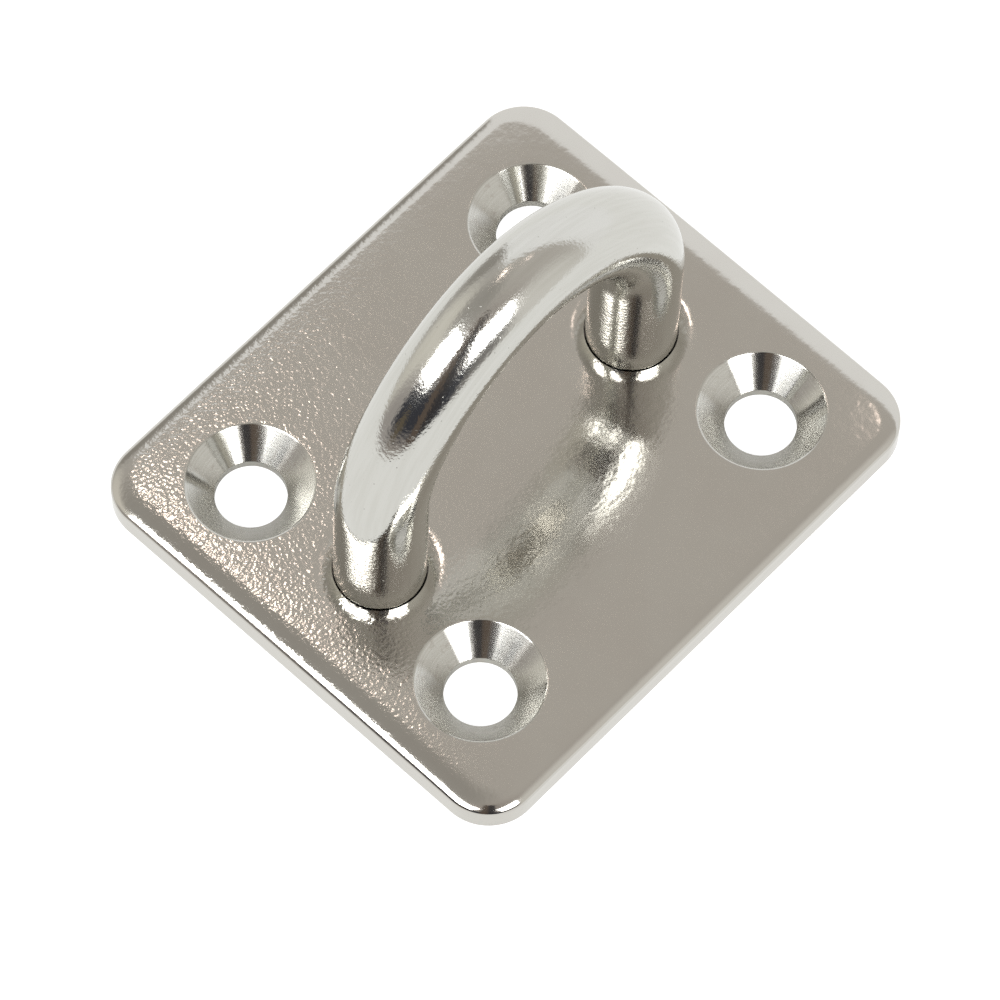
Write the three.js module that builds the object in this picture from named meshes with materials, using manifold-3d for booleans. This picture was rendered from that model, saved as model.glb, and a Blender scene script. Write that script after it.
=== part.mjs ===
// Pad eye: a thin rectangular plate with four countersunk screw holes, and a round bar bent into
// a bow whose two legs drop through the plate and are plug-welded from underneath.
// Millimetres, +Z up. The origin is the centre of the plate's underside, and the bow stands in
// the XZ plane, with its legs at -X and +X.
import * as THREE from "three";
import { mergeVertices } from "three/addons/utils/BufferGeometryUtils.js";
import Module from "manifold-3d";

// Plate
const plateLength = 40;
const plateWidth = 35;
const plateThickness = 2.5;
const plateCornerRadius = 3.4;
const topEdgeRadius = 0.95;
const bottomEdgeChamfer = 0.15;

// Screw holes: a short straight land, then a 90 degree countersink with a softened rim
const screwSpacingX = 26;
const screwSpacingY = 20;
const screwHoleRadius = 2.325;
const screwLandHeight = 0.7;
const countersinkRadius = 4.15;
const countersinkRimRound = 0.2;

// Bow
const barRadius = 2.85;
const legSpacing = 23.2;
const straightHeight = 8.4; // from the plate's top face to where each leg starts to bend
const archRise = 12.3; // from there to the bar's centre line at the crown
const springPull = 0.5; // Bezier handle where the bend starts, as a share of the rise
const crownPull = 0.5; // and at the crown, as a share of the half span: 0.55 is an ellipse
const crownDrift = 0.6; // bending leaves the crown this much nearer the +X leg
const legEndHeight = 0.55; // the sheared ends stop short of the plate's underside

// Leg holes and plug welds
const legHoleRadius = 3.02;
const legHoleRollIn = 0.3; // punching rounds the hole's upper lip
const weldGrooveDepth = 1.05; // 45 degree groove under the plate, filled by the weld
const fusionGap = 0.02; // keeps the weld a body of its own beside the plate and the leg
const weldRecess = 0.06; // the weld's rim lies this far above the plate's underside
const weldCrater = 0.22; // and its middle this far

// Fineness of the faceted curves
const roundSegments = 48;
const barSides = 28;
const barSteps = 66;
const cornerSegments = 10;
const edgeSegments = 5;

const steel = new THREE.MeshStandardMaterial({ color: 0xaba59a, metalness: 1, roughness: 0.3 });
const polished = new THREE.MeshStandardMaterial({ color: 0xc9c7c2, metalness: 1, roughness: 0.1 });
const weldMetal = new THREE.MeshStandardMaterial({ color: 0x8f877b, metalness: 1, roughness: 0.45 });

const wasm = await Module();
wasm.setup();

function solidOf(geometry) {
  const bare = geometry.clone();
  bare.deleteAttribute("normal");
  bare.deleteAttribute("uv");
  const merged = mergeVertices(bare, 1e-4);
  const mesh = new wasm.Mesh({
    numProp: 3,
    vertProperties: new Float32Array(merged.attributes.position.array),
    triVerts: new Uint32Array(merged.index.array),
  });
  return new wasm.Manifold(mesh);
}

function geometryOf(solid) {
  const { vertProperties, triVerts } = solid.getMesh();
  const geometry = new THREE.BufferGeometry();
  geometry.setAttribute("position", new THREE.BufferAttribute(vertProperties, 3));
  geometry.setIndex(new THREE.BufferAttribute(triVerts, 1));
  geometry.computeVertexNormals();
  return geometry;
}

// A turned body about +Z from [radius, height] points that run up the outside.
function turned(profile) {
  const points = profile.map(([radius, height]) => new THREE.Vector2(radius, height));
  return new THREE.LatheGeometry(points, roundSegments).rotateX(Math.PI / 2);
}

// Points of an arc in the [radius, height] plane, both ends included.
function arc([centreR, centreZ], radius, fromAngle, toAngle, segments) {
  return Array.from({ length: segments + 1 }, (_, i) => {
    const angle = fromAngle + ((toAngle - fromAngle) * i) / segments;
    return [centreR + radius * Math.cos(angle), centreZ + radius * Math.sin(angle)];
  });
}

// The plate's outline, moved inwards by inset.
function outline(inset) {
  const halfX = plateLength / 2 - inset;
  const halfY = plateWidth / 2 - inset;
  const r = plateCornerRadius - inset;
  const shape = new THREE.Shape();
  shape.moveTo(-halfX + r, -halfY);
  shape.lineTo(halfX - r, -halfY);
  shape.absarc(halfX - r, -halfY + r, r, -Math.PI / 2, 0, false);
  shape.lineTo(halfX, halfY - r);
  shape.absarc(halfX - r, halfY - r, r, 0, Math.PI / 2, false);
  shape.lineTo(-halfX + r, halfY);
  shape.absarc(-halfX + r, halfY - r, r, Math.PI / 2, Math.PI, false);
  shape.lineTo(-halfX, -halfY + r);
  shape.absarc(-halfX + r, -halfY + r, r, Math.PI, 1.5 * Math.PI, false);
  return shape;
}

// The outline extruded up from base to top, its edges eased by bevel: rounded where segments > 1.
function slab(base, top, edge, bevel, segments) {
  const geometry = new THREE.ExtrudeGeometry(outline(edge + bevel), {
    depth: top - base - 2 * bevel,
    curveSegments: cornerSegments / 2,
    bevelEnabled: true,
    bevelThickness: bevel,
    bevelSize: bevel,
    bevelSegments: segments,
  });
  return solidOf(geometry.translate(0, 0, base + bevel));
}

// The blank is rounded above and only broken below, so it is one slab with rolled edges
// trimmed by a second whose 45 degree foot starts inside the outline and ends outside it.
function plateBlank() {
  const rolled = slab(-plateThickness, plateThickness, 0, topEdgeRadius, edgeSegments);
  const footHeight = 0.6;
  const inset = bottomEdgeChamfer - footHeight;
  const trimmed = slab(0, 2 * plateThickness, inset, footHeight, 1);
  return rolled.intersect(trimmed);
}

// A screw hole's cutter: land, countersink, softened rim, then clear above the plate.
function screwCutter() {
  const slope = Math.atan2(countersinkRadius - screwHoleRadius, plateThickness - screwLandHeight);
  const tangent = countersinkRimRound * Math.tan((Math.PI / 2 - slope) / 2);
  const rimCentre = [countersinkRadius + tangent, plateThickness - countersinkRimRound];
  const rim = arc(rimCentre, countersinkRimRound, Math.PI - slope, Math.PI / 2, 3);
  return turned([
    [0, -1],
    [screwHoleRadius, -1],
    [screwHoleRadius, screwLandHeight],
    ...rim,
    [countersinkRadius + tangent, plateThickness + 1],
    [0, plateThickness + 1],
  ]);
}

// A leg hole's cutter: weld groove below, straight bore, rolled-in lip above.
function legCutter() {
  const lipCentre = [legHoleRadius + legHoleRollIn, plateThickness - legHoleRollIn];
  const lip = arc(lipCentre, legHoleRollIn, Math.PI, Math.PI / 2, 3);
  return turned([
    [0, -1],
    [legHoleRadius + weldGrooveDepth + 1, -1],
    [legHoleRadius, weldGrooveDepth],
    ...lip,
    [legHoleRadius + legHoleRollIn, plateThickness + 1],
    [0, plateThickness + 1],
  ]);
}

function basePlate() {
  let solid = plateBlank();
  for (const sideX of [-1, 1]) {
    for (const sideY of [-1, 1]) {
      const x = (sideX * screwSpacingX) / 2;
      const y = (sideY * screwSpacingY) / 2;
      solid = solid.subtract(solidOf(screwCutter().translate(x, y, 0)));
    }
    const legX = (sideX * legSpacing) / 2;
    solid = solid.subtract(solidOf(legCutter().translate(legX, 0, 0)));
  }
  return geometryOf(solid);
}

// A point of the bar's centre line, from its x in the upright bow and its height over the plate.
function onBow(x, height) {
  const lean = (crownDrift * Math.max(0, height)) / (straightHeight + archRise);
  return new THREE.Vector3(x + lean, 0, plateThickness + height);
}

// The bar's centre line: square through the plate, up one leg, over the arch and down again.
function bowPath() {
  const half = legSpacing / 2;
  const foot = legEndHeight - plateThickness;
  const crown = straightHeight + archRise;
  const halfArch = (side) => [
    onBow(side * half, straightHeight),
    onBow(side * half, straightHeight + springPull * archRise),
    onBow(side * half * crownPull, crown),
    onBow(0, crown),
  ];
  const leg = (side) => [onBow(side * half, foot), onBow(side * half, 0)];
  const [leftFoot, leftBase] = leg(-1);
  const [rightFoot, rightBase] = leg(1);
  const left = halfArch(-1);
  const right = halfArch(1).reverse();
  const path = new THREE.CurvePath();
  path.add(new THREE.LineCurve3(leftFoot, leftBase));
  path.add(new THREE.LineCurve3(leftBase, left[0]));
  path.add(new THREE.CubicBezierCurve3(...left));
  path.add(new THREE.CubicBezierCurve3(...right));
  path.add(new THREE.LineCurve3(right[3], rightBase));
  path.add(new THREE.LineCurve3(rightBase, rightFoot));
  return path;
}

function eyeBow() {
  const section = new THREE.Shape().absarc(0, 0, barRadius, 0, 2 * Math.PI, false);
  return new THREE.ExtrudeGeometry(section, {
    steps: barSteps,
    curveSegments: barSides / 2,
    extrudePath: bowPath(),
  });
}

// A plug weld: a shallow crater that covers the leg's end and fills the groove round it.
function legWeld() {
  const innerRadius = barRadius + fusionGap;
  const rimRadius = legHoleRadius + weldGrooveDepth - weldRecess - 2 * fusionGap;
  const rootHeight = weldGrooveDepth - fusionGap;
  const rootRadius = legHoleRadius - fusionGap;
  return turned([
    [0, weldCrater],
    [barRadius * 0.6, weldCrater - 0.04],
    [rimRadius - 0.5, weldRecess],
    [rimRadius, weldRecess],
    [rootRadius, rootHeight],
    [innerRadius, rootHeight],
    [innerRadius, legEndHeight - fusionGap],
    [0, legEndHeight - fusionGap],
  ]);
}

function part(name, geometry, material, x = 0) {
  const mesh = new THREE.Mesh(geometry, material);
  mesh.name = name;
  mesh.position.x = x;
  return mesh;
}

const group = new THREE.Group();
group.add(part("base_plate", basePlate(), steel));
group.add(part("eye_bow", eyeBow(), polished));
group.add(part("left_leg_weld", legWeld(), weldMetal, -legSpacing / 2));
group.add(part("right_leg_weld", legWeld(), weldMetal, legSpacing / 2));

export default group;
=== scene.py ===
"""Looks of a stainless steel pad eye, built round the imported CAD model.

A tumbled 40 x 35 mm plate with four countersunk screw holes carries a polished bow of round bar,
whose legs are plug-welded from underneath. The plate, the bow and both welds are rebuilt here as
finer meshes with procedural steel, in the CAD's own frame. Shapes are worked out in millimetres.
"""
import math

import bmesh
import bpy
from mathutils import Matrix, Vector
from mathutils.geometry import delaunay_2d_cdt


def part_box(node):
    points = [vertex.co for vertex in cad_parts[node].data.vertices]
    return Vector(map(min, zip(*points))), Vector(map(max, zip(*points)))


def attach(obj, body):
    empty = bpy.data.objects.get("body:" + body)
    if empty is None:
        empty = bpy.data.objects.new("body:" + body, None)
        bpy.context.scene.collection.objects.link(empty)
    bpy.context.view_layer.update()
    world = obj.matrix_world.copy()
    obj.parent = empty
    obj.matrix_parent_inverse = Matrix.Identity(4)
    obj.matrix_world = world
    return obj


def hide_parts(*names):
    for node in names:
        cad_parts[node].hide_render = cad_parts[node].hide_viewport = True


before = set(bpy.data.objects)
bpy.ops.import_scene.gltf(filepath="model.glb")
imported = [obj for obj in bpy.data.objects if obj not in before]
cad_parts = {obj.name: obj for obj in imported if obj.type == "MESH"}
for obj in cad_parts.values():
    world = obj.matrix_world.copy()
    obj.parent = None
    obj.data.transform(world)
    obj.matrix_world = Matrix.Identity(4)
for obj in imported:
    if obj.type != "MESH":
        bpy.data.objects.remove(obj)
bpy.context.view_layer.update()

MM = 0.001  # metres in a millimetre


# ---------------------------------------------------------------- sizes, in millimetres
def node_box(name):
    """A CAD node's lowest and highest corner."""
    low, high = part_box(name)
    return Vector(low) / MM, Vector(high) / MM


plate_high = node_box("base_plate")[1]
bow_low, bow_high = node_box("eye_bow")
weld_boxes = {name: node_box(name) for name in ("left_leg_weld", "right_leg_weld")}

HALF_LENGTH = plate_high.x
HALF_WIDTH = plate_high.y
THICKNESS = plate_high.z
CORNER_RADIUS = 3.4
END_EDGE_REACH = 1.9  # the top edge is a quarter ellipse this far in at the plate's ends
SIDE_EDGE_REACH = 1.1  # this far in at its long sides
EDGE_DROP = 0.62  # and this far down
EDGE_STEPS = 26
EDGE_LIP = 0.1  # a flat strip this wide joins the rolled edge to the top face
BOTTOM_EDGE_RADIUS = 0.15
BOTTOM_LIP = 0.4  # the underside's flat face starts this far in from the outline
ROLL_OFF_WIDTH = 6.0  # tumbling wears the top face down this far in from its edges
ROLL_OFF_DEPTH = 0.17  # and by this much at them

DOME = 0.0006  # the plate's fall from flat, in millimetres for each square millimetre of y

SCREW_X = 13.0
SCREW_Y = 10.0
SCREW_RADIUS = 2.325
SCREW_LAND = 0.7
COUNTERSINK_RADIUS = 4.15
COUNTERSINK_ROUND = 0.2
SCREW_LIPS = (0.35, 0.3)  # the flat faces start this far outside it, above and below

BAR_RADIUS = (bow_high.y - bow_low.y) / 2
LEG_X = weld_boxes["right_leg_weld"][0].lerp(weld_boxes["right_leg_weld"][1], 0.5).x
LEG_RADIUS = 2.98  # bending has drawn the arch a little thinner than its legs
LEG_HOLE_RADIUS = 3.07
LEG_GAP_RADIUS = 3.04  # the drawn-in lip all but closes on the leg
LIP_ROUND = 3.0  # the lip falls towards the leg on this radius
LIP_DROP = 0.2  # by this much
WELD_GROOVE = 1.05
LEG_END = bow_low.z
LEG_STRAIGHT = 8.4  # from the plate's top face to where the bend starts
ARCH_RISE = bow_high.z - BAR_RADIUS - THICKNESS - LEG_STRAIGHT
CROWN_DRIFT = 0.6  # the crown leans this far towards the +X leg
ARCH_HANDLE = 0.5  # Bezier handles, as a share of the rise and of the half span
ARCH_STEPS = 400
STOUT_HEIGHT = 9.0  # the bar keeps its legs' radius up to this height
DRAWN_HEIGHT = 21.0  # and has its arch's from this height on

HOLE_SIDES = 120
CORNER_STEPS = 20
STRAIGHT_STEPS = 32
TOP_MESH_SPACING = 0.8  # between the points of the flat faces
BOTTOM_MESH_SPACING = 1.6
RING_CLEARANCE = 0.8  # the flat faces' inner points keep this share of the spacing from the outline
HOLE_CLEARANCE = 0.6  # and this share from each hole
CORNER_CUT = 1.2  # and leave out this much of each corner
BAR_SIDES = 88
BAR_STEP = 0.22
ARC_STEP = math.radians(5)  # the most that one facet of a rounded edge turns
SHARP_ANGLE = math.radians(30)

# The welds: a crater in the middle, a raised bead round it, and ripples that trail round both
WELD_TO_LEG = 0.01  # clearances that keep each weld a body of its own
WELD_TO_PLATE = 0.02
WELD_TO_LEG_END = 0.02
WELD_FACE = 0.005  # the weld's face starts this far above its edge
CRATER_DEPTH = 0.17
CRATER_SHARE = 0.62  # of the weld's radius, as are the two shares below
CRATER_MIDDLE = 0.175  # the middle point's height above the weld's edge
BEAD_HEIGHT = 0.03
BEAD_SHARE = 0.5
RIPPLE_HEIGHT = 0.026
RIPPLE_SHARE = 0.6
RIPPLES = 26
RIPPLE_SWEEP = 5.5
WELD_SIDES = 144
WELD_BANDS = 44
WELD_START_ANGLES = {"left_leg_weld": 0.9, "right_leg_weld": 2.6}


# ---------------------------------------------------------------- mesh making
def rounded(corners):
    """A profile through (across, up, radius) corners, each rounded to its radius."""
    path = [Vector(corner[:2]) for corner in corners]
    points = [path[0]]
    for i in range(1, len(path) - 1):
        radius = corners[i][2]
        back = (path[i - 1] - path[i]).normalized()
        ahead = (path[i + 1] - path[i]).normalized()
        if radius == 0:
            points.append(path[i])
            continue
        half = back.angle(ahead) / 2
        centre = path[i] + (back + ahead).normalized() * radius / math.sin(half)
        start = path[i] + back * radius / math.tan(half) - centre
        end = path[i] + ahead * radius / math.tan(half) - centre
        turn = math.atan2(start.x * end.y - start.y * end.x, start.dot(end))
        steps = max(2, math.ceil(abs(turn) / ARC_STEP))
        for step in range(steps + 1):
            points.append(centre + Matrix.Rotation(turn * step / steps, 2) @ start)
    points.append(path[-1])
    return points


def plate_ring(mesh, inset_x, inset_y, z):
    """The plate's outline at height z, moved inwards by so much at its ends and its long sides."""
    half_x = HALF_LENGTH - CORNER_RADIUS
    half_y = HALF_WIDTH - CORNER_RADIUS
    radius_x = CORNER_RADIUS - inset_x
    radius_y = CORNER_RADIUS - inset_y
    corners = []
    centres = [(half_x, half_y), (-half_x, half_y), (-half_x, -half_y), (half_x, -half_y)]
    for turn, (x, y) in enumerate(centres):
        for step in range(CORNER_STEPS + 1):
            angle = math.pi / 2 * (turn + step / CORNER_STEPS)
            corners.append((x + radius_x * math.cos(angle), y + radius_y * math.sin(angle)))
    points = []
    for i, (x, y) in enumerate(corners):
        points.append((x, y))
        if i % (CORNER_STEPS + 1) == CORNER_STEPS:
            next_x, next_y = corners[(i + 1) % len(corners)]
            for step in range(1, STRAIGHT_STEPS):
                share = step / STRAIGHT_STEPS
                points.append((x + (next_x - x) * share, y + (next_y - y) * share))
    return [mesh.verts.new((x, y, z)) for x, y in points]


def round_ring(mesh, centre, radius, z, sides=HOLE_SIDES):
    """A level circle of points."""
    ring = []
    for side in range(sides):
        angle = 2 * math.pi * side / sides
        x = centre[0] + radius * math.cos(angle)
        y = centre[1] + radius * math.sin(angle)
        ring.append(mesh.verts.new((x, y, z)))
    return ring


def bridge(mesh, rings, slot, flipped=False):
    """Quads between each ring and the next."""
    for first, second in zip(rings, rings[1:]):
        count = len(first)
        for i in range(count):
            quad = [first[i], first[(i + 1) % count], second[(i + 1) % count], second[i]]
            face = mesh.faces.new(reversed(quad) if flipped else quad)
            face.material_index = slot
            face.smooth = True


def flat_face(mesh, outer, holes, z, slot, downward, spacing):
    """Even triangles between an outer ring and the rings of its holes.

    The outer ring has to be convex, because the triangulation fills its convex hull.
    """
    verts = [*outer]
    loops = [range(len(outer))]
    for _, _, ring in holes:
        loops.append(range(len(verts), len(verts) + len(ring)))
        verts.extend(ring)
    edges = [(loop[i], loop[(i + 1) % len(loop)]) for loop in loops for i in range(len(loop))]
    reach_x = max(v.co.x for v in outer) - spacing * RING_CLEARANCE
    reach_y = max(v.co.y for v in outer) - spacing * RING_CLEARANCE
    columns = round(2 * reach_x / spacing)
    rows = round(2 * reach_y / spacing)
    inner = []
    for column in range(columns + 1):
        for row in range(rows + 1):
            x = reach_x * (2 * column / columns - 1)
            y = reach_y * (2 * row / rows - 1)
            clear = all(
                math.hypot(x - cx, y - cy) > radius + spacing * HOLE_CLEARANCE
                for (cx, cy), radius, _ in holes
            )
            if clear and abs(x) + abs(y) < reach_x + reach_y - CORNER_CUT:
                inner.append(mesh.verts.new((x, y, z)))
    verts.extend(inner)
    flat = [v.co.to_2d() for v in verts]
    result = delaunay_2d_cdt(flat, edges, [], 0, 1e-7)
    triangles, sources = result[2], result[3]
    hole_of = {}
    for number, loop in enumerate(loops[1:]):
        for index in loop:
            hole_of[index] = number
    for triangle in triangles:
        corners = [sources[i][0] for i in triangle]
        owners = {hole_of.get(index) for index in corners}
        if len(owners) == 1 and None not in owners:
            continue
        face = mesh.faces.new([verts[i] for i in corners])
        face.normal_update()
        if (face.normal.z < 0) != downward:
            face.normal_flip()
        face.material_index = slot
        face.smooth = True


def place_mesh(mesh, name, materials):
    """Turns a bmesh in millimetres into an object in the scene."""
    bmesh.ops.scale(mesh, vec=(MM, MM, MM), verts=mesh.verts)
    data = bpy.data.meshes.new(name)
    mesh.to_mesh(data)
    mesh.free()
    for material in materials:
        data.materials.append(material)
    placed = bpy.data.objects.new(name, data)
    bpy.context.scene.collection.objects.link(placed)
    return placed


def finish_piece(mesh, name, materials, slot_name, *nodes):
    """Makes a bmesh a piece that rides on the body and stands for its CAD nodes."""
    for edge in mesh.edges:
        edge.smooth = edge.calc_face_angle(0) < SHARP_ANGLE
    piece = place_mesh(mesh, name, materials)
    weighted = piece.modifiers.new("even_shading", "WEIGHTED_NORMAL")
    weighted.keep_sharp = True
    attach(piece, "root")
    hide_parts(*nodes)
    return piece


# ---------------------------------------------------------------- pieces
def roll_off(x, y):
    """How far the tumbled top face has worn below flat at a point."""
    drop = DOME * y * y
    for distance in (HALF_LENGTH - abs(x), HALF_WIDTH - abs(y)):
        drop += ROLL_OFF_DEPTH * (max(0, ROLL_OFF_WIDTH - distance) / ROLL_OFF_WIDTH) ** 3
    return drop


def make_plate(materials):
    """The plate: rolled top edge, countersunk screw holes, leg holes with a drawn-in lip."""
    body_slot, countersink_slot = 0, 1
    mesh = bmesh.new()
    edge = [plate_ring(mesh, END_EDGE_REACH + EDGE_LIP, SIDE_EDGE_REACH + EDGE_LIP, THICKNESS)]
    for step in range(EDGE_STEPS):
        angle = math.pi / 2 * step / EDGE_STEPS
        share = 1 - math.sin(angle)
        z = THICKNESS - EDGE_DROP * (1 - math.cos(angle))
        edge.append(plate_ring(mesh, END_EDGE_REACH * share, SIDE_EDGE_REACH * share, z))
    foot = rounded([(0, THICKNESS - EDGE_DROP, 0), (0, 0, BOTTOM_EDGE_RADIUS), (BOTTOM_LIP, 0, 0)])
    edge += [plate_ring(mesh, inset, inset, z) for inset, z in foot]
    bridge(mesh, edge, body_slot, flipped=True)

    screw_profile = rounded([
        (COUNTERSINK_RADIUS + SCREW_LIPS[0], THICKNESS, 0),
        (COUNTERSINK_RADIUS, THICKNESS, COUNTERSINK_ROUND),
        (SCREW_RADIUS, SCREW_LAND, 0.08),
        (SCREW_RADIUS, 0, 0.1),
        (SCREW_RADIUS + SCREW_LIPS[1], 0, 0),
    ])
    leg_profile = rounded([
        (LEG_GAP_RADIUS + 1.3, THICKNESS, 0),
        (LEG_GAP_RADIUS + 0.64, THICKNESS, LIP_ROUND),
        (LEG_GAP_RADIUS, THICKNESS - LIP_DROP, 0.03),
        (LEG_GAP_RADIUS, WELD_GROOVE + 0.3, 0),
        (LEG_HOLE_RADIUS, WELD_GROOVE, 0),
        (LEG_HOLE_RADIUS + 1.0, 0, 0.05),
        (LEG_HOLE_RADIUS + 1.2, 0, 0),
    ])
    screws = [(x, y) for x in (-SCREW_X, SCREW_X) for y in (-SCREW_Y, SCREW_Y)]
    legs = [(-LEG_X, 0), (LEG_X, 0)]
    holes_above, holes_below = [], []
    for centre in screws + legs:
        profile = screw_profile if centre in screws else leg_profile
        slot = countersink_slot if centre in screws else body_slot
        rings = [round_ring(mesh, centre, radius, z) for radius, z in profile]
        bridge(mesh, rings[:2], body_slot)
        bridge(mesh, rings[1:-1], slot)
        bridge(mesh, rings[-2:], body_slot)
        holes_above.append((centre, profile[0].x, rings[0]))
        holes_below.append((centre, profile[-1].x, rings[-1]))
    flat_face(mesh, edge[0], holes_above, THICKNESS, body_slot, False, TOP_MESH_SPACING)
    flat_face(mesh, edge[-1], holes_below, 0, body_slot, True, BOTTOM_MESH_SPACING)
    for vert in mesh.verts:
        x, y, z = vert.co
        vert.co.z -= roll_off(x, y) * z / THICKNESS
    return finish_piece(mesh, "plate", materials, "plate_steel", "base_plate")


def bezier(points, t):
    """A point of a cubic Bezier curve."""
    a, b, c, d = points
    s = 1 - t
    return a * s**3 + b * 3 * s * s * t + c * 3 * s * t * t + d * t**3


def bow_centre_line():
    """The bar's centre line as (x, z) points, a step apart, with the length run so far."""
    crown = LEG_STRAIGHT + ARCH_RISE
    spring = LEG_STRAIGHT + ARCH_HANDLE * ARCH_RISE

    def on_bow(x, height):
        lean = CROWN_DRIFT * max(0, height) / crown
        return Vector((x + lean, THICKNESS + height))

    def half_arch(side):
        across = side * LEG_X
        leg_side = [(across, LEG_STRAIGHT), (across, spring)]
        crown_side = [(across * ARCH_HANDLE, crown), (0, crown)]
        return [on_bow(x, height) for x, height in leg_side + crown_side]

    left = [bezier(half_arch(-1), i / ARCH_STEPS) for i in range(ARCH_STEPS + 1)]
    right = [bezier(half_arch(1), i / ARCH_STEPS) for i in range(ARCH_STEPS + 1)]
    foot = LEG_END - THICKNESS
    path = [on_bow(-LEG_X, foot), on_bow(-LEG_X, 0), *left, *reversed(right[:-1])]
    path += [on_bow(LEG_X, 0), on_bow(LEG_X, foot)]
    runs = [0]
    for first, second in zip(path, path[1:]):
        runs.append(runs[-1] + (second - first).length)
    steps = round(runs[-1] / BAR_STEP)
    points, piece = [], 0
    for step in range(steps + 1):
        run = runs[-1] * step / steps
        while piece < len(path) - 2 and runs[piece + 1] < run:
            piece += 1
        share = (run - runs[piece]) / (runs[piece + 1] - runs[piece])
        points.append((path[piece].lerp(path[piece + 1], share), run))
    return points


def make_bow(material):
    """The bow: round bar swept along its centre line, its legs a little stouter than its arch.

    Each point also keeps its place on the straight bar, for the material to follow the bend.
    """
    mesh = bmesh.new()
    place = mesh.verts.layers.float_vector.new("bar_place")
    line = bow_centre_line()
    rings = []
    for i, (centre, run) in enumerate(line):
        before = line[max(0, i - 1)][0]
        after = line[min(len(line) - 1, i + 1)][0]
        along = (after - before).normalized()
        outward = Vector((-along.y, along.x))
        slack = min(1, max(0, (DRAWN_HEIGHT - centre.y) / (DRAWN_HEIGHT - STOUT_HEIGHT)))
        radius = BAR_RADIUS + (LEG_RADIUS - BAR_RADIUS) * slack * slack * (3 - 2 * slack)
        ring = []
        for side in range(BAR_SIDES):
            angle = 2 * math.pi * side / BAR_SIDES
            off = radius * math.cos(angle)
            across = radius * math.sin(angle)
            spot = centre + outward * off
            vert = mesh.verts.new((spot.x, across, spot.y))
            vert[place] = (run, off, across)
            ring.append(vert)
        rings.append(ring)
    bridge(mesh, rings, 0, flipped=True)
    mesh.faces.new(rings[0])
    mesh.faces.new(reversed(rings[-1]))
    bmesh.ops.recalc_face_normals(mesh, faces=mesh.faces)
    return finish_piece(mesh, "bow", [material], "bar_steel", "eye_bow")


def make_weld(name, node, material):
    """A plug weld: a rippled crater under the leg's end that fills the groove round it."""
    low, high = weld_boxes[node]
    centre = (low + high) / 2
    rim = (high.x - low.x) / 2
    inner = LEG_RADIUS + WELD_TO_LEG
    root = LEG_HOLE_RADIUS - WELD_TO_PLATE
    top = high.z
    floor_top = LEG_END - WELD_TO_LEG_END
    mesh = bmesh.new()
    rings = []
    for band in range(WELD_BANDS, 0, -1):
        radius = rim * band / WELD_BANDS
        ring = round_ring(mesh, centre, radius, 0, WELD_SIDES)
        crater = CRATER_DEPTH * max(0, 1 - (radius / (rim * CRATER_SHARE)) ** 2) ** 1.5
        bead = BEAD_HEIGHT * math.sin(math.pi * min(1, (rim - radius) / (rim * BEAD_SHARE)))
        swell = math.sin(math.pi * min(1, (rim - radius) / (rim * RIPPLE_SHARE)))
        for vert in ring:
            around = math.atan2(vert.co.y - centre.y, vert.co.x - centre.x)
            around -= WELD_START_ANGLES[node]
            scallop = RIPPLES * around + RIPPLE_SWEEP * (radius / rim) ** 2
            ripple = RIPPLE_HEIGHT * math.sin(scallop) * swell
            vert.co.z = low.z + WELD_FACE + crater - bead + ripple
        rings.append(ring)
    tip = mesh.verts.new((centre.x, centre.y, low.z + CRATER_MIDDLE))
    last = rings[-1]
    bridge(mesh, rings, 0)
    for i in range(WELD_SIDES):
        face = mesh.faces.new((last[i], last[(i + 1) % WELD_SIDES], tip))
        face.smooth = True
    for vert in rings[0]:
        vert.co.z = low.z
    upper = [(root, top), (inner, top), (inner, floor_top), (inner * 0.5, floor_top)]
    walls = [rings[0]]
    walls += [round_ring(mesh, centre, radius, z, WELD_SIDES) for radius, z in upper]
    bridge(mesh, walls, 0, flipped=True)
    mesh.faces.new(walls[-1])
    bmesh.ops.recalc_face_normals(mesh, faces=mesh.faces)
    return finish_piece(mesh, name, [material], "weld_metal", node)


# ---------------------------------------------------------------- node helpers
def fill(graph, socket, value):
    """Links or sets one input."""
    if isinstance(value, bpy.types.NodeSocket):
        graph.links.new(value, socket)
    else:
        socket.default_value = value


def add(graph, kind, *values, **settings):
    """A node with its settings made and its first inputs filled in order."""
    node = graph.nodes.new(kind)
    for name, setting in settings.items():
        setattr(node, name, setting)
    for socket, value in zip(node.inputs, values):
        fill(graph, socket, value)
    return node


def calc(graph, operation, *values):
    """One operation on numbers."""
    return add(graph, "ShaderNodeMath", *values, operation=operation).outputs[0]


def vector(graph, operation, *values):
    """One operation on vectors."""
    return add(graph, "ShaderNodeVectorMath", *values, operation=operation).outputs[0]


def dot(graph, first, second):
    """How far the first vector goes along the second."""
    return add(graph, "ShaderNodeVectorMath", first, second, operation="DOT_PRODUCT").outputs[1]


def distance(graph, first, second):
    """How far apart two places are."""
    return add(graph, "ShaderNodeVectorMath", first, second, operation="DISTANCE").outputs[1]


def fade(graph, value, start, end, low=0.0, high=1.0):
    """Low up to start, high from end on, and a smooth step between."""
    steps = (value, start, end, low, high)
    return add(graph, "ShaderNodeMapRange", *steps, interpolation_type="SMOOTHSTEP").outputs[0]


def mix(graph, share, first, second):
    """From the first colour to the second."""
    node = graph.nodes.new("ShaderNodeMix")
    node.data_type = "RGBA"
    for index, value in ((0, share), (6, first), (7, second)):
        fill(graph, node.inputs[index], (*value, 1) if isinstance(value, tuple) else value)
    return node.outputs[2]


def blend(graph, share, first, second):
    """From the first number to the second."""
    return add(graph, "ShaderNodeMapRange", share, 0.0, 1.0, first, second).outputs[0]


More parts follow.
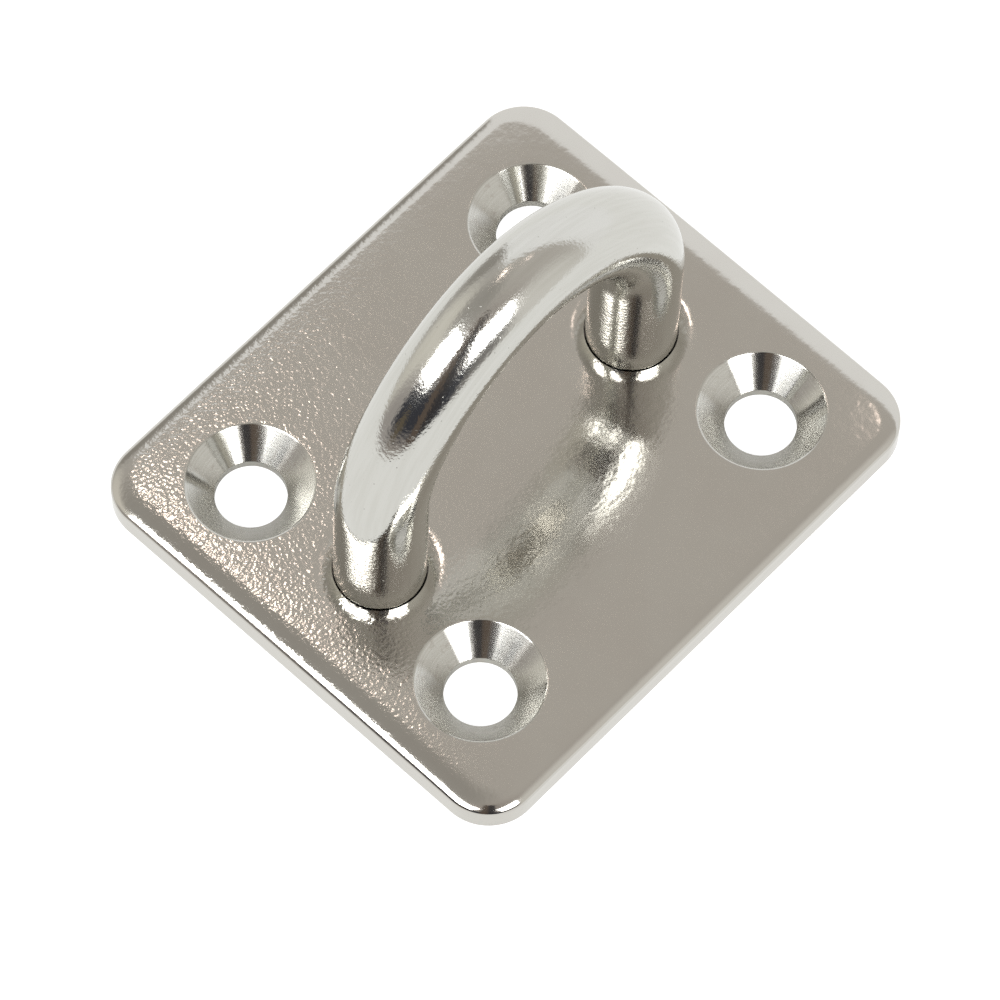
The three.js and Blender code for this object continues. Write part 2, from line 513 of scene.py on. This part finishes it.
def noise(graph, place, size, detail=2.0, rough=0.5, warp=0.0):
    """Fractal noise from 0 to 1, whose largest bumps are about size apart."""
    node = graph.nodes.new("ShaderNodeTexNoise")
    fill(graph, node.inputs["Vector"], place)
    node.inputs["Scale"].default_value = 1 / size
    node.inputs["Detail"].default_value = detail
    node.inputs["Roughness"].default_value = rough
    node.inputs["Distortion"].default_value = warp
    return node.outputs[0]


def pits(graph, place, spacing, radius):
    """1 in the middle of scattered round pits, 0 outside them."""
    node = graph.nodes.new("ShaderNodeTexVoronoi")
    fill(graph, node.inputs["Vector"], place)
    node.inputs["Scale"].default_value = 1 / spacing
    return fade(graph, node.outputs["Distance"], radius / spacing, radius / spacing * 0.3)


def empty_graph(owner):
    """The emptied node graph of a material or world."""
    owner.use_nodes = True
    owner.node_tree.nodes.clear()
    return owner.node_tree


def new_material(name):
    """A material with one metal shader, its output, and its graph."""
    material = bpy.data.materials.new(name)
    graph = empty_graph(material)
    shader = graph.nodes.new("ShaderNodeBsdfPrincipled")
    shader.inputs["Metallic"].default_value = 1.0
    output = graph.nodes.new("ShaderNodeOutputMaterial")
    graph.links.new(shader.outputs[0], output.inputs[0])
    return material, graph, shader


def in_millimetres(graph):
    """The object's own coordinates, in millimetres."""
    place = graph.nodes.new("ShaderNodeTexCoord").outputs["Object"]
    return vector(graph, "MULTIPLY", place, (1 / MM,) * 3)


def bump(graph, height, depth, under=None):
    """A bump whose height from 0 to 1 stands for depth in millimetres."""
    node = graph.nodes.new("ShaderNodeBump")
    node.inputs["Strength"].default_value = 1.0
    node.inputs["Distance"].default_value = depth * MM
    fill(graph, node.inputs["Height"], height)
    if under is not None:
        fill(graph, node.inputs["Normal"], under)
    return node.outputs[0]


# ---------------------------------------------------------------- materials
STEEL = (0.60, 0.593, 0.552)
PLATE_STEEL = (0.635, 0.615, 0.575)
STEEL_DULL = (0.56, 0.54, 0.50)
STEEL_BRIGHT = (0.66, 0.655, 0.62)
STRAW = (0.55, 0.40, 0.20)
TEMPER_BLUE = (0.22, 0.26, 0.38)
SCALE_GREY = (0.36, 0.34, 0.31)
PIT_GREY = (0.3, 0.29, 0.27)
WELD_DARK = (0.38, 0.36, 0.33)
WELD_LIGHT = (0.52, 0.50, 0.47)
WELD_TINT = (0.34, 0.31, 0.36)
TINT_START = 3.8  # heat tint on the plate starts this far from each leg's middle


def heat_tint(graph, place, colour, start):
    """Straw and blue rings on the steel round each weld, from start millimetres out."""
    mirrored = vector(graph, "ABSOLUTE", place)
    away = distance(graph, mirrored, (LEG_X, 0.0, 0.0))
    wavy = calc(graph, "ADD", away, calc(graph, "MULTIPLY", noise(graph, place, 2.5), 2.4))
    straw = fade(graph, wavy, start + 3.9, start + 1.9, 0.0, 0.6)
    blue = fade(graph, wavy, start + 2.3, start + 1.2, 0.0, 0.7)
    grey = fade(graph, wavy, start + 1.5, start + 0.8, 0.0, 0.8)
    tinted = mix(graph, straw, colour, STRAW)
    tinted = mix(graph, blue, tinted, TEMPER_BLUE)
    return mix(graph, grey, tinted, SCALE_GREY)


def plate_steel():
    """Tumbled steel: orange peel on top, glossier edges, a ground and heat-tinted underside."""
    material, graph, shader = new_material("tumbled_steel")
    place = in_millimetres(graph)
    height = add(graph, "ShaderNodeSeparateXYZ", place).outputs[2]
    on_top = fade(graph, height, THICKNESS - 0.6, THICKNESS - 0.2)
    below = fade(graph, height, 0.12, 0.03)

    patches = noise(graph, place, 4.0, 3.0)
    colour = mix(graph, fade(graph, patches, 0.3, 0.7), STEEL_DULL, STEEL)
    colour = mix(graph, 0.65, colour, PLATE_STEEL)
    lines = vector(graph, "MULTIPLY", place, (0.12, 3.0, 0.12))  # long along X, close across it
    scoring = noise(graph, lines, 1.0, 4.0, 0.65)
    ground = mix(graph, fade(graph, scoring, 0.35, 0.65), STEEL_DULL, STEEL_BRIGHT)
    tinted = heat_tint(graph, place, ground, TINT_START)
    fill(graph, shader.inputs["Base Color"], mix(graph, below, colour, tinted))

    peel = noise(graph, place, 0.23, 1.0, 0.4)
    dimples = noise(graph, place, 0.6, 1.0, 0.4)
    smear = noise(graph, place, 1.1, 3.0, 0.6)
    rough = calc(graph, "MULTIPLY_ADD", smear, 0.06, 0.10)
    rough_edge = calc(graph, "MULTIPLY_ADD", smear, 0.06, 0.07)
    rough_top = blend(graph, on_top, rough_edge, rough)
    fill(graph, shader.inputs["Roughness"], blend(graph, below, rough_top, 0.3))

    grinding = calc(graph, "MULTIPLY", scoring, below)
    corner = dot(graph, place, (-0.8, 0.6, 0.0))  # the peel is strongest at the -X, +Y corner
    patchy = calc(graph, "MULTIPLY", on_top, fade(graph, corner, -1.0, 17.0, 0.16, 1.0))
    peel_height = calc(graph, "MULTIPLY", peel, patchy)
    surface = bump(graph, peel_height, 0.021)
    surface = bump(graph, dimples, 0.008, surface)
    fill(graph, shader.inputs["Normal"], bump(graph, grinding, 0.012, surface))
    return material


def countersink_steel():
    """Turned steel, bright, with the cutter's rings round each screw hole."""
    material, graph, shader = new_material("turned_steel")
    place = in_millimetres(graph)
    mirrored = vector(graph, "ABSOLUTE", place)
    flat = vector(graph, "MULTIPLY", mirrored, (1.0, 1.0, 0.0))
    out = vector(graph, "SUBTRACT", flat, (SCREW_X, SCREW_Y, 0.0))
    radius = add(graph, "ShaderNodeVectorMath", out, operation="LENGTH").outputs[1]
    side = vector(graph, "SIGN", place)
    radial = vector(graph, "MULTIPLY", out, side)
    fill(graph, shader.inputs["Tangent"], vector(graph, "NORMALIZE", radial))
    shader.inputs["Anisotropic"].default_value = 0.95
    rings = add(graph, "ShaderNodeCombineXYZ", radius, 0.0, 0.0).outputs[0]
    tool = noise(graph, rings, 0.14, 3.0, 0.7)
    wear = noise(graph, place, 0.5, 3.0, 0.6)
    colour = mix(graph, fade(graph, tool, 0.3, 0.7), STEEL, STEEL_BRIGHT)
    colour = mix(graph, fade(graph, wear, 0.55, 0.75), colour, STEEL_DULL)
    fill(graph, shader.inputs["Base Color"], colour)
    fill(graph, shader.inputs["Roughness"], calc(graph, "MULTIPLY_ADD", wear, 0.05, 0.15))
    surface = bump(graph, tool, 0.0025)
    surface = bump(graph, noise(graph, place, 0.3, 2.0), 0.0015, surface)
    fill(graph, shader.inputs["Normal"], surface)
    return material


def bow_steel():
    """Polished bar: long soft streaks along it, fine grain, and a scatter of small pits."""
    material, graph, shader = new_material("polished_bar")
    place = graph.nodes.new("ShaderNodeAttribute")
    place.attribute_name = "bar_place"
    place = place.outputs["Vector"]
    along = vector(graph, "MULTIPLY", place, (0.08, 1.0, 1.0))
    streaks = noise(graph, along, 0.35, 3.0, 0.6)
    specks = pits(graph, place, 0.55, 0.06)
    sparse = fade(graph, noise(graph, place, 2.5, 1.0), 0.42, 0.6)
    specks = calc(graph, "MULTIPLY", specks, sparse)
    colour = mix(graph, fade(graph, streaks, 0.35, 0.65, 0.0, 0.5), STEEL_BRIGHT, STEEL)
    colour = mix(graph, calc(graph, "MULTIPLY", specks, 0.5), colour, PIT_GREY)
    fill(graph, shader.inputs["Base Color"], colour)
    height = add(graph, "ShaderNodeSeparateXYZ", in_millimetres(graph)).outputs[2]
    worn = fade(graph, height, 18.0, 25.0, 0.045, 0.12)  # duller towards the crown
    rough = calc(graph, "MULTIPLY_ADD", streaks, 0.05, worn)
    fill(graph, shader.inputs["Roughness"], rough)
    grain = noise(graph, place, 0.2, 2.0, 0.5)
    waves = noise(graph, along, 1.3, 1.0)
    surface = bump(graph, waves, 0.01)
    surface = bump(graph, grain, 0.012, surface)
    surface = bump(graph, streaks, 0.002, surface)
    surface = bump(graph, calc(graph, "SUBTRACT", 1.0, specks), 0.01, surface)
    fill(graph, shader.inputs["Normal"], surface)
    return material


def weld_steel():
    """Weld metal: dull, frozen in fine ripples, heat-tinted."""
    material, graph, shader = new_material("weld_metal")
    place = in_millimetres(graph)
    scale = noise(graph, place, 0.9, 4.0, 0.6)
    colour = mix(graph, fade(graph, scale, 0.35, 0.65), WELD_DARK, WELD_LIGHT)
    mirrored = vector(graph, "ABSOLUTE", place)
    away = distance(graph, mirrored, (LEG_X, 0.0, 0.0))
    colour = mix(graph, fade(graph, away, 2.4, 3.9, 0.0, 0.55), colour, WELD_TINT)
    colour = mix(graph, fade(graph, scale, 0.6, 0.8, 0.0, 0.5), colour, STRAW)
    fill(graph, shader.inputs["Base Color"], colour)
    fill(graph, shader.inputs["Roughness"], calc(graph, "MULTIPLY_ADD", scale, 0.25, 0.18))
    surface = bump(graph, noise(graph, place, 0.25, 3.0, 0.6), 0.01)
    surface = bump(graph, noise(graph, place, 0.07, 2.0), 0.002, surface)
    fill(graph, shader.inputs["Normal"], surface)
    return material


# ---------------------------------------------------------------- studio
CAMERA_ELEVATION = math.radians(63.751)
CAMERA_AZIMUTH = math.radians(-47.448)
CAMERA_ROLL = math.radians(0.846)
CAMERA_DISTANCE = 421.39
CAMERA_ASIDE = Vector((-0.414, -2.333))  # the camera's axis passes this far from the plate's centre
LENS = 238.4
SENSOR_WIDTH = 36.0

RIGHT = Vector((math.cos(CAMERA_AZIMUTH), math.sin(CAMERA_AZIMUTH), 0))
AHEAD = Vector((-math.sin(CAMERA_AZIMUTH), math.cos(CAMERA_AZIMUTH), 0))
UP = Vector((0, 0, 1))

ROOM = (0.57, 0.54, 0.50)
ROOM_BEHIND = (0.40, 0.36, 0.33)
PAPER = (1.03, 1.03, 1.03)
PAPER_EDGE = Vector((-0.0279, 0.7983, -0.6016))  # the paper's top edge, as right, ahead and up
LAMP_WHITE = (9.0, 9.0, 9.0)
TABLE_LIT = (1.0, 1.0, 0.985)
TABLE_SHADED = (0.6, 0.6, 0.58)
BACKDROP = (0.93, 0.93, 0.925)
TABLE_RADIUS = 3000


def towards(bearing, elevation):
    """A direction, from degrees right of the camera's heading and degrees above the horizon."""
    bearing, elevation = math.radians(bearing), math.radians(elevation)
    level = RIGHT * math.sin(bearing) + AHEAD * math.cos(bearing)
    return level * math.cos(elevation) + UP * math.sin(elevation)


def glow(graph, ray, bearing, elevation, inner, outer):
    """1 within inner degrees of a direction, fading to 0 at outer degrees."""
    nearness = dot(graph, ray, towards(bearing, elevation))
    return fade(graph, nearness, math.cos(math.radians(outer)), math.cos(math.radians(inner)))


def softbox(graph, ray, bearing, elevation, half_width, half_height, roll=0.0, blur=0.02):
    """1 inside a rectangle of light seen in that direction, its half sides in degrees."""
    middle = towards(bearing, elevation)
    level = middle.cross(UP).normalized()
    turn = Matrix.Rotation(math.radians(roll), 3, middle)
    sideways, upright = turn @ level, turn @ level.cross(middle)
    depth = calc(graph, "MAXIMUM", dot(graph, ray, middle), 0.001)
    inside = calc(graph, "GREATER_THAN", dot(graph, ray, middle), 0.0)
    for axis, half in ((sideways, half_width), (upright, half_height)):
        offset = calc(graph, "DIVIDE", calc(graph, "ABSOLUTE", dot(graph, ray, axis)), depth)
        edge = math.tan(math.radians(half))
        inside = calc(graph, "MULTIPLY", inside, fade(graph, offset, edge + blur, edge - blur))
    return inside


def room_lights(graph, ray):
    """Soft patches of the room, each with its colour, in the order they are laid over it."""
    return [
        # pale patches ahead and to the left, one of them brighter
        (glow(graph, ray, -52, 12, 15, 50), (0.50, 0.48, 0.45)),
        (glow(graph, ray, -33, 18, 5, 18), (0.36, 0.34, 0.31)),
        (glow(graph, ray, -80, 29, 8, 38), (0.80, 0.77, 0.70)),
        (glow(graph, ray, -115, 8, 8, 32), (0.42, 0.39, 0.37)),
        # a bright patch on the right, and a dim one high on the left
        (glow(graph, ray, 113, 16, 12, 45), (0.79, 0.77, 0.73)),
        (glow(graph, ray, -85, 68, 10, 30), (0.40, 0.38, 0.35)),
        # dark patches low down behind the camera, and a small brown one
        (softbox(graph, ray, 152, 14, 20, 14, 0, 0.15), (0.22, 0.21, 0.20)),
        (softbox(graph, ray, -163, 19, 42, 13, -8, 0.12), (0.045, 0.047, 0.058)),
        (glow(graph, ray, -138, 14, 2, 10), (0.14, 0.115, 0.08)),
        # the dark figure where the camera stands, with a brown streak down it
        (softbox(graph, ray, 180, 0, 12.5, 71, 0, 0.05), (0.045, 0.042, 0.045)),
        (softbox(graph, ray, -173, 0, 6, 71, 0, 0.04), (0.13, 0.10, 0.08)),
    ]


def lamps(graph, ray):
    """Two softboxes behind the camera, and two small lamps above the paper's top edge."""
    return [
        (softbox(graph, ray, -131, 47, 18.2, 11.4), LAMP_WHITE),
        (softbox(graph, ray, 145.6, 37.9, 12.4, 13.7, 6), LAMP_WHITE),
        (glow(graph, ray, -21.6, 65.3, 1.1, 3.2), (7.0, 5.9, 5.3)),
        (glow(graph, ray, 25, 61, 0.5, 2.5), (2.6, 2.2, 2.0)),
    ]


def make_world():
    """A studio: white paper ahead of the camera, a warm grey room, lamps, and a dark figure."""
    world = bpy.data.worlds.new("studio")
    bpy.context.scene.world = world
    graph = empty_graph(world)
    ray = graph.nodes.new("ShaderNodeTexCoord").outputs["Generated"]
    height = add(graph, "ShaderNodeSeparateXYZ", ray).outputs[2]
    forward = dot(graph, ray, AHEAD)

    light = mix(graph, fade(graph, forward, 0.1, -0.6), ROOM, ROOM_BEHIND)
    layers = room_lights(graph, ray)
    edge = RIGHT * PAPER_EDGE.x + AHEAD * PAPER_EDGE.y + UP * PAPER_EDGE.z
    under_edge = fade(graph, dot(graph, ray, edge), -0.02, 0.02)
    right_of_side = fade(graph, dot(graph, ray, towards(66, 0)), -0.02, 0.02)
    layers.append((calc(graph, "MULTIPLY", under_edge, right_of_side), PAPER))
    layers += lamps(graph, ray)
    for share, colour in layers:
        light = mix(graph, share, light, colour)
    table = mix(graph, fade(graph, height, -0.92, -0.99), TABLE_LIT, TABLE_SHADED)
    light = mix(graph, fade(graph, height, 0.04, -0.04), light, table)

    seen = graph.nodes.new("ShaderNodeLightPath").outputs["Is Camera Ray"]
    light = mix(graph, seen, light, BACKDROP)
    world.cycles.sampling_method = "MANUAL"
    world.cycles.sample_map_resolution = 2048
    background = add(graph, "ShaderNodeBackground", light)
    output = graph.nodes.new("ShaderNodeOutputWorld")
    graph.links.new(background.outputs[0], output.inputs[0])


def make_floor():
    """A plain white table top, seen but not reflected, and open from below."""
    material = bpy.data.materials.new("table_white")
    graph = empty_graph(material)
    diffuse = add(graph, "ShaderNodeBsdfDiffuse", (0.3, 0.3, 0.3, 1))
    glowing = add(graph, "ShaderNodeEmission", (0.86, 0.86, 0.86, 1), 1.0)
    surface = add(graph, "ShaderNodeAddShader", diffuse.outputs[0], glowing.outputs[0])
    back = graph.nodes.new("ShaderNodeNewGeometry").outputs["Backfacing"]
    clear = graph.nodes.new("ShaderNodeBsdfTransparent")
    both = add(graph, "ShaderNodeMixShader", back, surface.outputs[0], clear.outputs[0])
    output = graph.nodes.new("ShaderNodeOutputMaterial")
    graph.links.new(both.outputs[0], output.inputs[0])

    mesh = bmesh.new()
    mesh.faces.new(round_ring(mesh, (0, 0), TABLE_RADIUS, -0.02, 96))
    table = place_mesh(mesh, "table_top", [material])
    table.visible_diffuse = False
    table.visible_glossy = False
    table.visible_shadow = False


def make_hole_papers():
    """The paper at the bottom of each screw hole, shaded by the plate and seen only in reflections.
    Its grey colour is painted shade as well, darker than the white table paper.
    """
    material = bpy.data.materials.new("paper_with_painted_shade")
    graph = empty_graph(material)
    # painted shade: this grey, darker than the white table, stands in for the shade inside the holes
    diffuse = add(graph, "ShaderNodeBsdfDiffuse", (0.5, 0.5, 0.49, 1))
    output = graph.nodes.new("ShaderNodeOutputMaterial")
    graph.links.new(diffuse.outputs[0], output.inputs[0])
    mesh = bmesh.new()
    for x in (-SCREW_X, SCREW_X):
        for y in (-SCREW_Y, SCREW_Y):
            mesh.faces.new(round_ring(mesh, (x, y), SCREW_RADIUS + 0.05, 0.02, 64))
    papers = place_mesh(mesh, "hole_papers", [material])
    papers.visible_camera = False
    papers.visible_shadow = False


def make_camera():
    """The camera that looks at the plate's top from in front and above."""
    level = math.cos(CAMERA_ELEVATION)
    forward = AHEAD * level - UP * math.sin(CAMERA_ELEVATION)
    straight_up = RIGHT.cross(forward)
    right = RIGHT * math.cos(CAMERA_ROLL) + straight_up * math.sin(CAMERA_ROLL)
    up = straight_up * math.cos(CAMERA_ROLL) - RIGHT * math.sin(CAMERA_ROLL)
    spot = (right * CAMERA_ASIDE.x + up * CAMERA_ASIDE.y - forward * CAMERA_DISTANCE) * MM
    data = bpy.data.cameras.new("camera")
    data.lens = LENS
    data.sensor_width = SENSOR_WIDTH
    data.clip_start = 0.01
    data.clip_end = 20.0
    camera = bpy.data.objects.new("camera", data)
    turn = Matrix((right, up, -forward)).transposed().to_4x4()
    camera.matrix_world = Matrix.Translation(spot) @ turn
    bpy.context.scene.collection.objects.link(camera)
    bpy.context.scene.camera = camera


# ---------------------------------------------------------------- assembly
make_plate([plate_steel(), countersink_steel()])
make_bow(bow_steel())
weld_material = weld_steel()
make_weld("left_weld", "left_leg_weld", weld_material)
make_weld("right_weld", "right_leg_weld", weld_material)
make_world()
make_floor()
make_hole_papers()
make_camera()
scene = bpy.context.scene
scene.view_settings.view_transform = "Standard"
scene.cycles.use_denoising = True
scene.cycles.denoising_prefilter = "NONE"
scene.cycles.sample_clamp_indirect = 3.0
